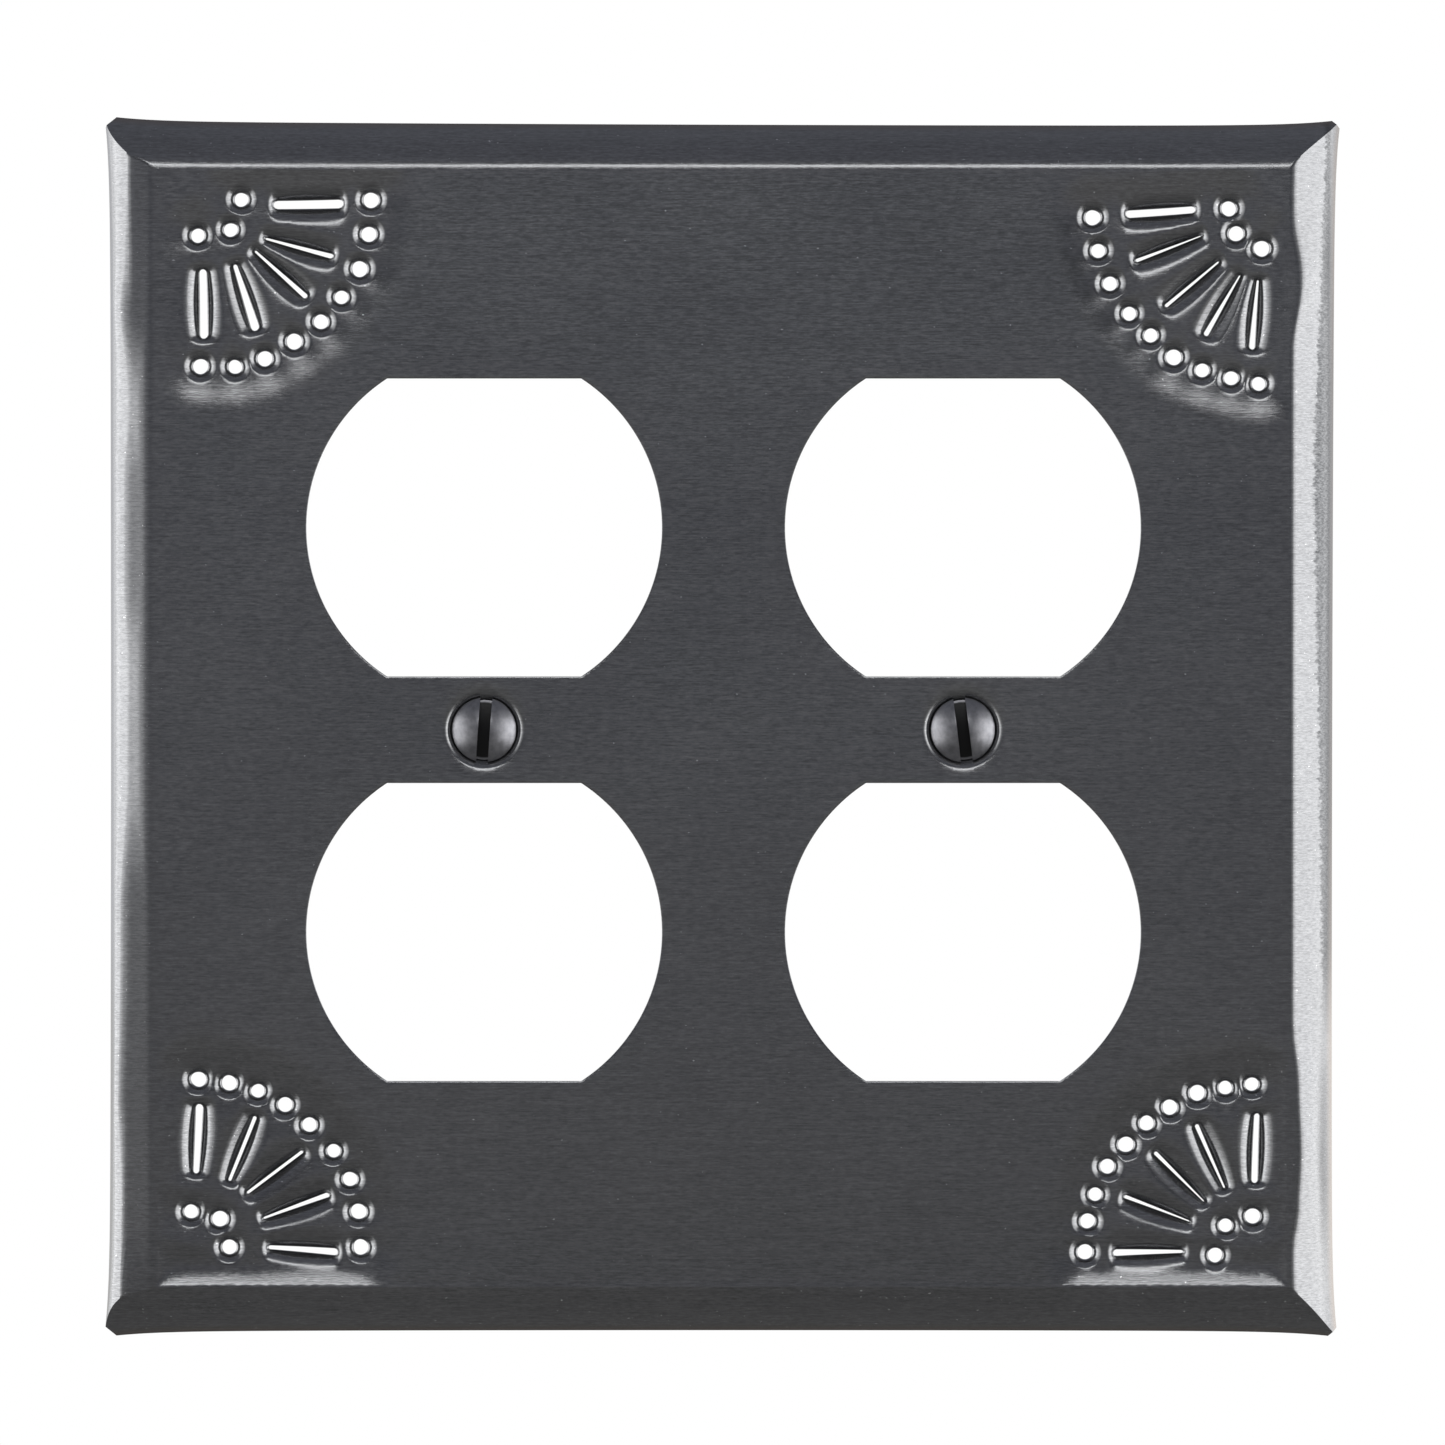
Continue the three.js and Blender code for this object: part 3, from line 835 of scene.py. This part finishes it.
def inner_points(fixed, boundary, features):
    """The points inside the face, the most important first."""
    fine = grid(FINE_GRID, features)
    fine = fine[hole_distance(fine, punches_of(features)) < FINE_MARGIN]
    layers = [
        (ring_points(features), RING_GAP),
        (rows_beside_bends(boundary, features), BESIDE_GAP),
        (fine, FINE_GRID["gap"]),
        (grid(COARSE_GRID, features), COARSE_GRID["gap"]),
    ]
    points = []
    for candidates, gap in layers:
        points += spread(candidates, list(fixed) + points, gap)
    return points


def triangulate_face(boundary, features):
    """(x, z) points and triangles of the face, and where its boundary's points are in them."""
    outlines = [feature.ring(0.0) for feature in features]
    edges = []
    for loop in [boundary] + outlines:
        edges += round_pairs(range(len(edges), len(edges) + len(loop)))

    fixed = np.concatenate([boundary] + outlines)
    points = inner_points(fixed, boundary, features)
    coords = [Vector(point) for point in np.concatenate([fixed, points])]
    verts, _, faces, origin, _, _ = delaunay_2d_cdt(coords, edges, [], 0, FACE_TOLERANCE)
    plane = np.array([tuple(vert) for vert in verts])
    triangles = np.array([face[:3] for face in faces])
    centres = plane[triangles].mean(axis=1)
    in_hole = np.zeros(len(triangles), bool)
    for feature, outline in zip(features, outlines):
        close = np.nonzero(feature.distance(centres) < OUTLINE_REACH)[0]
        in_hole[close] |= inside_polygon(centres[close], outline)
    place = {source: i for i, sources in enumerate(origin) for source in sources}
    return plane, triangles[~in_hole], [place[i] for i in range(len(boundary))]


# ---- the plate ----
def boundary_edges(faces):
    """Directed edges that only one face uses."""
    directed = {pair for face in faces for pair in round_pairs(face)}
    return [(a, b) for a, b in directed if (b, a) not in directed]


def plate_mesh():
    """The front sheet, the same sheet moved back, and walls that join their open edges."""
    features = face_features()
    loops = flange_loops(side_stations())
    boundary = loops[0][0][:, [0, 2]]
    plane, triangles, previous = triangulate_face(boundary, features)

    drop = face_drop(plane, features)
    front = np.stack([plane[:, 0], drop - FACE_DEPTH, plane[:, 1]], axis=1)
    back = front + np.array([0, SHEET, 0])
    faces = [tuple(int(i) for i in triangle) for triangle in triangles]
    for front_loop, back_loop in loops[1:]:
        current = range(len(front), len(front) + len(front_loop))
        front = np.concatenate([front, front_loop])
        back = np.concatenate([back, back_loop])
        faces += band(previous, current)
        previous = current

    total = len(front)
    behind = [tuple(i + total for i in reversed(face)) for face in faces]
    walls = [(b, a, a + total, b + total) for a, b in boundary_edges(faces)]
    return np.concatenate([front, back]), faces + behind + walls


def clip_tips(obj):
    """Cuts the four corner tips off at 45 degrees and closes the cuts."""
    bm = bmesh.new()
    bm.from_mesh(obj.data)
    low = Vector(obj.bound_box[0])
    high = Vector(obj.bound_box[6])
    for sx, sz in itertools.product((-1, 1), (-1, 1)):
        corner = Vector((high.x if sx > 0 else low.x, 0, high.z if sz > 0 else low.z))
        result = bmesh.ops.bisect_plane(
            bm,
            geom=bm.verts[:] + bm.edges[:] + bm.faces[:],
            plane_co=corner - Vector((sx * TIP_CLIP * MM, 0, 0)),
            plane_no=Vector((sx, 0, sz)).normalized(),
            clear_outer=True,
            dist=1e-8,
        )
        cut = [part for part in result["geom_cut"] if isinstance(part, bmesh.types.BMEdge)]
        bmesh.ops.edgenet_fill(bm, edges=cut)
    bmesh.ops.recalc_face_normals(bm, faces=bm.faces)
    bm.to_mesh(obj.data)
    bm.free()


def make_plate(material):
    plate = mesh_object("cover_plate_sheet", *plate_mesh())
    clip_tips(plate)
    shade_smooth(plate, PLATE_SHARP_ANGLE)
    plate.data.materials.append(material)
    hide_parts("cover_plate")
    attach(plate, "plate")


# ---- the screws ----
def crown_profile(radius):
    """(radius, depth) over a cap of a sphere, from its top to its edge."""
    sphere = (radius ** 2 + CROWN_HEIGHT ** 2) / (2 * CROWN_HEIGHT)
    angle = np.linspace(0, math.asin(radius / sphere), CROWN_STEPS)
    depth = sphere * (1 - np.cos(angle)) - CROWN_HEIGHT
    return np.stack([sphere * np.sin(angle), depth], axis=1)


def thread_height(depth, angle, start, end):
    """Height of the ridge above the core at a depth and an angle, fading out at both ends."""
    phase = (depth / THREAD_PITCH - angle / (2 * math.pi)) % 1.0
    from_crest = np.abs(phase - 0.5) * 2
    ridge = np.clip((THREAD_FOOT - from_crest) / THREAD_FLANK, 0, 1)
    fade = smoothstep((depth - start) / THREAD_PITCH) * smoothstep((end - depth) / THREAD_PITCH)
    return (THREAD_RADIUS - THREAD_CORE) * ridge * fade


def screw_rows(head_radius, cone_end):
    """(radius, depth) of the screw without its thread, from the crown to the tip."""
    rows = [tuple(point) for point in crown_profile(head_radius - CROWN_INSET)[1:]]
    rows += [(head_radius - inward, depth) for inward, depth in HEAD_ROUNDING]
    for share in np.linspace(CONE_FIRST_ROW, 1, CONE_ROWS):
        radius = head_radius - share * (head_radius - THREAD_CORE)
        rows.append((radius, HEAD_EDGE + share * (cone_end - HEAD_EDGE)))
    shank_end = SCREW_LENGTH - SHANK_RUNOUT
    count = round((shank_end - cone_end) / THREAD_PITCH * THREAD_ROWS)
    rows += [(THREAD_CORE, depth) for depth in np.linspace(cone_end, shank_end, count)[1:]]
    rows += [(THREAD_CORE - inward, SCREW_LENGTH - back) for inward, back in TIP_ROUNDING]
    return rows


def screw_mesh(head_radius):
    """Vertices and faces of a screw turned around Y, its face plane at zero."""
    cone_end = HEAD_EDGE + (head_radius - THREAD_CORE) / math.tan(math.radians(DISH_HALF_ANGLE))
    thread = (cone_end + THREAD_START, SCREW_LENGTH - THREAD_RUNOUT)
    rows = screw_rows(head_radius, cone_end)
    sides = SCREW_SIDES
    angle = around(sides)
    vertices = [(0.0, -CROWN_HEIGHT, 0.0)]
    for radius, depth in rows:
        ridge = thread_height(depth, angle, *thread) if depth > cone_end else 0.0
        radii = radius + ridge
        level = np.full(sides, depth)
        ring = np.stack([radii * np.sin(angle), level, radii * np.cos(angle)], axis=1)
        vertices += [tuple(point) for point in ring]
    vertices.append((0.0, SCREW_LENGTH, 0.0))
    rings = [range(1 + row * sides, 1 + (row + 1) * sides) for row in range(len(rows))]
    faces = [(0, a, b) for a, b in round_pairs(rings[0])]
    for first, second in zip(rings, rings[1:]):
        faces += band(first, second)
    faces += [(len(vertices) - 1, b, a) for a, b in round_pairs(rings[-1])]
    return vertices, faces


def slot_saw(turn):
    """A box that stands in the slot and clear in front of the crown."""
    depth = SLOT_DEPTH + SAW_CLEARANCE
    middle = Vector((0, SLOT_DEPTH - CROWN_HEIGHT - depth / 2, 0))
    bm = bmesh.new()
    bmesh.ops.create_cube(bm, size=1.0)
    bmesh.ops.scale(bm, vec=Vector((SLOT_WIDTH, depth, SAW_LENGTH)) * MM, verts=bm.verts)
    bmesh.ops.translate(bm, vec=middle * MM, verts=bm.verts)
    bmesh.ops.rotate(bm, cent=(0, 0, 0), matrix=Matrix.Rotation(turn, 3, "Y"), verts=bm.verts)
    return object_from(bm, "slot_saw")


def cut_slot(screw, turn):
    saw = slot_saw(turn)
    cut = screw.modifiers.new("slot", "BOOLEAN")
    cut.operation = "DIFFERENCE"
    cut.solver = "EXACT"
    cut.object = saw
    bevel = screw.modifiers.new("soft_edges", "BEVEL")
    bevel.width = SLOT_BEVEL * MM
    bevel.segments = 2
    bevel.limit_method = "ANGLE"
    bevel.angle_limit = math.radians(SLOT_BEVEL_ANGLE)
    bpy.context.view_layer.update()
    evaluated = screw.evaluated_get(bpy.context.evaluated_depsgraph_get())
    screw.data = bpy.data.meshes.new_from_object(evaluated)
    screw.modifiers.clear()
    bpy.data.meshes.remove(saw.data)  # the saw goes with its mesh


def make_screw(side, material):
    node = "mounting_screw_" + side
    low, high = box(node)
    screw = mesh_object(node + "_turned", *screw_mesh((high.x - low.x) / 2))
    cut_slot(screw, math.radians(SLOT_TURNS[side]))
    shade_smooth(screw, SCREW_SHARP_ANGLE)
    screw.location = Vector(((low.x + high.x) / 2, high.y - SCREW_LENGTH, 0)) * MM
    screw.data.materials.append(material)
    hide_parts(node)
    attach(screw, side + "_screw")


# ---- materials ----
class Nodes:
    """Short ways to add and join shader nodes."""

    def __init__(self, tree):
        self.tree = tree

    def add(self, kind, inputs=None, **settings):
        """A new node; each of its inputs is given a value or another node's output."""
        node = self.tree.nodes.new(kind)
        for name, value in settings.items():
            setattr(node, name, value)
        for name, value in (inputs or {}).items():
            if isinstance(value, (int, float, tuple)):
                node.inputs[name].default_value = value
            else:
                self.tree.links.new(value, node.inputs[name])
        return node

    def math(self, operation, a, b=0.5):
        return self.add("ShaderNodeMath", {0: a, 1: b}, operation=operation).outputs[0]

    def plus(self, a, b):
        return self.math("ADD", a, b)

    def times(self, a, b):
        return self.math("MULTIPLY", a, b)

    def axes(self, vector):
        return self.add("ShaderNodeSeparateXYZ", {0: vector}).outputs

    def scaled(self, vector, factor):
        inputs = {0: vector, "Scale": factor}
        return self.add("ShaderNodeVectorMath", inputs, operation="SCALE").outputs[0]

    def noise(self, coordinates, scale, detail, roughness):
        """Noise over millimetre coordinates stretched by scale, in cells per millimetre."""
        mapping = self.add("ShaderNodeMapping", {"Vector": coordinates, "Scale": scale})
        grain = {"Scale": 1.0, "Detail": detail, "Roughness": roughness}
        inputs = {"Vector": mapping.outputs[0], **grain}
        return self.add("ShaderNodeTexNoise", inputs).outputs["Fac"]

    def ramp(self, factor, low, high, low_value=0.0, high_value=1.0):
        ends = {"From Min": low, "From Max": high, "To Min": low_value, "To Max": high_value}
        return self.add("ShaderNodeMapRange", {"Value": factor, **ends}).outputs["Result"]

    def contrast(self, noise, low_value, high_value):
        """The middle of a noise's range spread between two values."""
        return self.ramp(noise, 0.3, 0.7, low_value, high_value)

    def mix(self, factor, a, b):
        return self.add("ShaderNodeMix", {0: factor, 6: a, 7: b}, data_type="RGBA").outputs[2]

    def glow(self, strength):
        return self.add("ShaderNodeEmission", {"Strength": strength}).outputs[0]

    def bump(self, height, distance):
        inputs = {"Height": height, "Distance": distance * MM, "Strength": 1.0}
        return self.add("ShaderNodeBump", inputs).outputs[0]

    def mix_shaders(self, factor, a, b):
        return self.add("ShaderNodeMixShader", {0: factor, 1: a, 2: b}).outputs[0]

    def join(self, source, target):
        self.tree.links.new(source, target)


def metal_material(name):
    """A metal, its node helper, its shader and the place on the object in millimetres."""
    material = bpy.data.materials.new(name)
    material.use_nodes = True
    nodes = Nodes(material.node_tree)
    shader = material.node_tree.nodes["Principled BSDF"]
    shader.inputs["Metallic"].default_value = 0.93
    place = nodes.add("ShaderNodeTexCoord").outputs["Object"]
    return material, nodes, shader, nodes.scaled(place, 1 / MM)


def rim_painted_shade(nodes, place):
    """Painted shade: a mottled darker band beside the right rim, where the steep flange reflects less
    light, widest above the middle.
    """
    x, _, z = nodes.axes(place)
    from_rim = nodes.math("SUBTRACT", plate_high.x - SIDES["right"]["inset"], x)
    below = nodes.ramp(z, -24, 26, 1.1, 2.0)
    above = nodes.ramp(z, 26, 55, 0.0, 1.2)
    ragged = nodes.contrast(nodes.noise(place, (0.5, 1.0, 3.0), 3.0, 0.6), -0.3, 0.3)
    width = nodes.plus(nodes.math("SUBTRACT", below, above), ragged)
    inside = nodes.ramp(nodes.math("SUBTRACT", width, from_rim), -0.15, 0.15)
    patches = nodes.noise(place, (1.3, 2.0, 7.0), 3.0, 0.7)
    mottled = nodes.ramp(patches, 0.38, 0.62, 0.45, 1.0)
    fading = nodes.times(nodes.ramp(z, -30, -22), nodes.ramp(from_rim, 0.1, 0.4, 0.3, 1.0))
    return nodes.times(nodes.times(inside, mottled), fading)


def bare_edge(nodes, place):
    """A brownish tint where the sheet's cut rim has lost its finish."""
    return nodes.ramp(nodes.axes(place)[1], -1.4, -0.2, 0.0, 0.8)


def brushed_sheet():
    """Blackened tinplate, brushed from side to side."""
    material, nodes, shader, place = metal_material("dark_tinplate")
    hairs = nodes.noise(place, (1.5, 2.0, 7.5), 2.0, 0.6)
    streaks = nodes.noise(place, (0.25, 1.0, 8.0), 3.0, 0.6)
    clouds = nodes.noise(place, (0.05, 0.05, 0.07), 3.0, 0.5)
    specks = nodes.noise(place, (2.6, 2.6, 4.2), 1.0, 0.4)

    tone = nodes.plus(nodes.contrast(hairs, -0.3, 0.3), nodes.contrast(streaks, -0.2, 0.2))
    tone = nodes.plus(tone, nodes.contrast(clouds, -0.05, 0.05))
    color = nodes.mix(nodes.plus(tone, 0.5), TIN_DARK, TIN_PALE)
    color = nodes.mix(nodes.ramp(specks, 0.765, 0.8), color, TIN_SPECK)
    # painted shade: a darker mottled band beside the right rim
    color = nodes.mix(rim_painted_shade(nodes, place), color, TIN_RIM_SHADE)
    color = nodes.mix(bare_edge(nodes, place), color, TIN_BARE)
    nodes.join(color, shader.inputs["Base Color"])

    dull = nodes.contrast(clouds, -0.015, 0.015)
    nodes.join(nodes.plus(nodes.contrast(hairs, 0.16, 0.21), dull), shader.inputs["Roughness"])
    shader.inputs["Anisotropic"].default_value = 0.65
    upwards = nodes.add("ShaderNodeCombineXYZ", {2: 1.0})
    nodes.join(upwards.outputs[0], shader.inputs["Tangent"])
    nodes.join(nodes.bump(nodes.plus(hairs, streaks), 0.004), shader.inputs["Normal"])
    return material


def turned_screw_metal():
    """Dark plated steel with fine turning marks round the crown, and painted shade in the slot."""
    material, nodes, shader, place = metal_material("screw_steel")
    x, y, z = nodes.axes(place)
    radius = nodes.math("SQRT", nodes.plus(nodes.times(x, x), nodes.times(z, z)))
    rings = nodes.add("ShaderNodeCombineXYZ", {0: radius})
    marks = nodes.noise(rings.outputs[0], (14.0, 1.0, 1.0), 3.0, 0.6)
    grime = nodes.noise(place, (1.1, 1.1, 1.1), 3.0, 0.6)
    color = nodes.mix(nodes.contrast(grime, 0.0, 1.0), SCREW_DARK, SCREW_PALE)
    # painted shade: the slot is darkened in colour to stand in for the shade in its recess
    slot_shade_mask = nodes.times(nodes.ramp(y, 0.0, 0.25), nodes.ramp(radius, 2.75, 2.6))
    slot_shade_mask = nodes.times(slot_shade_mask, nodes.ramp(y, 0.7, 0.5))
    color = nodes.mix(slot_shade_mask, color, SLOT_PAINTED_SHADE)
    nodes.join(color, shader.inputs["Base Color"])
    nodes.join(nodes.contrast(marks, 0.3, 0.4), shader.inputs["Roughness"])
    nodes.join(nodes.bump(marks, 0.01), shader.inputs["Normal"])
    return material


# ---- studio ----
def studio_light():
    """A rectangular light in front and overhead, facing the plate."""
    light = bpy.data.lights.new("overhead_strip", "AREA")
    light.shape = "RECTANGLE"
    light.size = 2 * STRIP_DISTANCE * math.tan(math.radians(STRIP_WIDTH / 2))
    light.size_y = 2 * STRIP_DISTANCE * math.tan(math.radians(STRIP_HEIGHT / 2))
    light.energy = STRIP_RADIANCE * math.pi * light.size * light.size_y
    obj = linked("overhead_strip", light)
    obj.visible_camera = False
    elevation = math.radians(STRIP_ELEVATION)
    direction = Vector((0, -math.cos(elevation), math.sin(elevation)))
    obj.location = direction * STRIP_DISTANCE
    obj.rotation_euler = (-direction).to_track_quat("-Z", "Y").to_euler()


def wall(nodes, azimuth, stops):
    """The brightness of one wall, easing between its stops."""
    node = nodes.add("ShaderNodeValToRGB")
    node.color_ramp.interpolation = "EASE"
    elements = node.color_ramp.elements
    while len(elements) < len(stops):
        elements.new(0.5)
    for element, (degrees, brightness) in zip(elements, stops):
        element.position = degrees / 180
        element.color = (*[brightness / BRIGHTEST_WALL] * 3, 1.0)
    nodes.join(azimuth, node.inputs["Fac"])
    return nodes.math("MULTIPLY", node.outputs["Color"], BRIGHTEST_WALL)


def both_walls(nodes, direction):
    """The brightness of the walls in a direction.

    They are full between about 20 degrees below and above level, then fall softly to nothing.
    """
    x, y, z = nodes.axes(direction)
    azimuth = nodes.math("ARCTAN2", nodes.math("ABSOLUTE", x), nodes.times(y, -1.0))
    azimuth = nodes.times(azimuth, 1 / math.pi)
    right = nodes.times(wall(nodes, azimuth, RIGHT_WALL), nodes.math("GREATER_THAN", x, 0.0))
    left = nodes.times(wall(nodes, azimuth, LEFT_WALL), nodes.math("LESS_THAN", x, 0.0))
    height = nodes.ramp(nodes.math("ABSOLUTE", z), 0.36, 0.5, 1.0, 0.0)
    return nodes.times(nodes.plus(right, left), height)


def studio_world():
    """White to the camera. The metal sees a wall each side, and dim light: most from below."""
    world = bpy.data.worlds.new("studio")
    bpy.context.scene.world = world
    world.use_nodes = True
    nodes = Nodes(world.node_tree)
    world.node_tree.nodes.clear()
    direction = nodes.add("ShaderNodeTexCoord").outputs["Generated"]
    _, _, z = nodes.axes(direction)
    below = nodes.ramp(z, -0.15, 0.15, 1.6, 0.4)
    overhead = nodes.ramp(z, 0.3, 0.7, 0.0, 0.5)
    dim = nodes.times(nodes.plus(below, overhead), DIM_LEVEL)
    walls = both_walls(nodes, direction)
    channels = [nodes.plus(nodes.times(dim, tint), walls) for tint in DIM_TINT]
    colour = nodes.add("ShaderNodeCombineColor", dict(enumerate(channels)))
    from_camera = nodes.add("ShaderNodeLightPath").outputs["Is Camera Ray"]
    seen = nodes.mix(from_camera, colour.outputs[0], (1.0, 1.0, 1.0, 1.0))
    background = nodes.add("ShaderNodeBackground", {"Color": seen})
    nodes.add("ShaderNodeOutputWorld", {"Surface": background.outputs[0]})


def floor_to_the_eye(nodes):
    """Plain and pale, fading to white at a flat angle."""
    facing = nodes.add("ShaderNodeLayerWeight", {"Blend": 0.5}).outputs["Facing"]
    grazing = nodes.ramp(facing, 0.75, 0.92)
    pale = nodes.add("ShaderNodeBsdfDiffuse", {"Color": (0.8, 0.8, 0.8, 1.0)}).outputs[0]
    paler = nodes.add("ShaderNodeAddShader", {0: pale, 1: nodes.glow(FLOOR_GLOW)}).outputs[0]
    return nodes.mix_shaders(grazing, paler, nodes.glow(1.0))


def floor_to_the_metal(nodes):
    """Dark, with the walls mirrored in it."""
    place = nodes.axes(nodes.add("ShaderNodeTexCoord").outputs["Object"])
    incoming = nodes.add("ShaderNodeNewGeometry").outputs["Incoming"]
    walls = both_walls(nodes, nodes.scaled(incoming, -1.0))
    return nodes.glow(nodes.plus(walls, nodes.ramp(place[1], -0.25, -0.06, 0.2, 0.14)))


def floor_material():
    material = bpy.data.materials.new("pale_floor")
    material.use_nodes = True
    nodes = Nodes(material.node_tree)
    material.node_tree.nodes.clear()
    from_camera = nodes.add("ShaderNodeLightPath").outputs["Is Camera Ray"]
    seen = nodes.mix_shaders(from_camera, floor_to_the_metal(nodes), floor_to_the_eye(nodes))
    nodes.add("ShaderNodeOutputMaterial", {"Surface": seen})
    return material


def studio_floor():
    """A plain pale floor just under the plate's lower rim."""
    bm = bmesh.new()
    bmesh.ops.create_grid(bm, x_segments=4, y_segments=4, size=FLOOR_HALF_WIDTH)
    floor = object_from(bm, "floor")
    floor.location.z = (plate_low.z - FLOOR_GAP) * MM
    floor.data.materials.append(floor_material())


def camera():
    """Square on to the face from far off, as wide as the plate and a border of about a tenth."""
    data = bpy.data.cameras.new("camera")
    obj = linked("camera", data)
    right, up = CAMERA_OFFSET
    obj.location = (right * MM, -CAMERA_DISTANCE, up * MM)
    obj.rotation_euler = (math.pi / 2, 0, 0)
    data.sensor_width = SENSOR_WIDTH
    data.lens = SENSOR_WIDTH * (CAMERA_DISTANCE - FACE_DEPTH * MM) / (FRAME_WIDTH * MM)
    bpy.context.scene.camera = obj


make_plate(brushed_sheet())
screw_metal = turned_screw_metal()
make_screw("left", screw_metal)
make_screw("right", screw_metal)
studio_light()
studio_world()
studio_floor()
camera()
bpy.context.scene.view_settings.view_transform = "Standard"
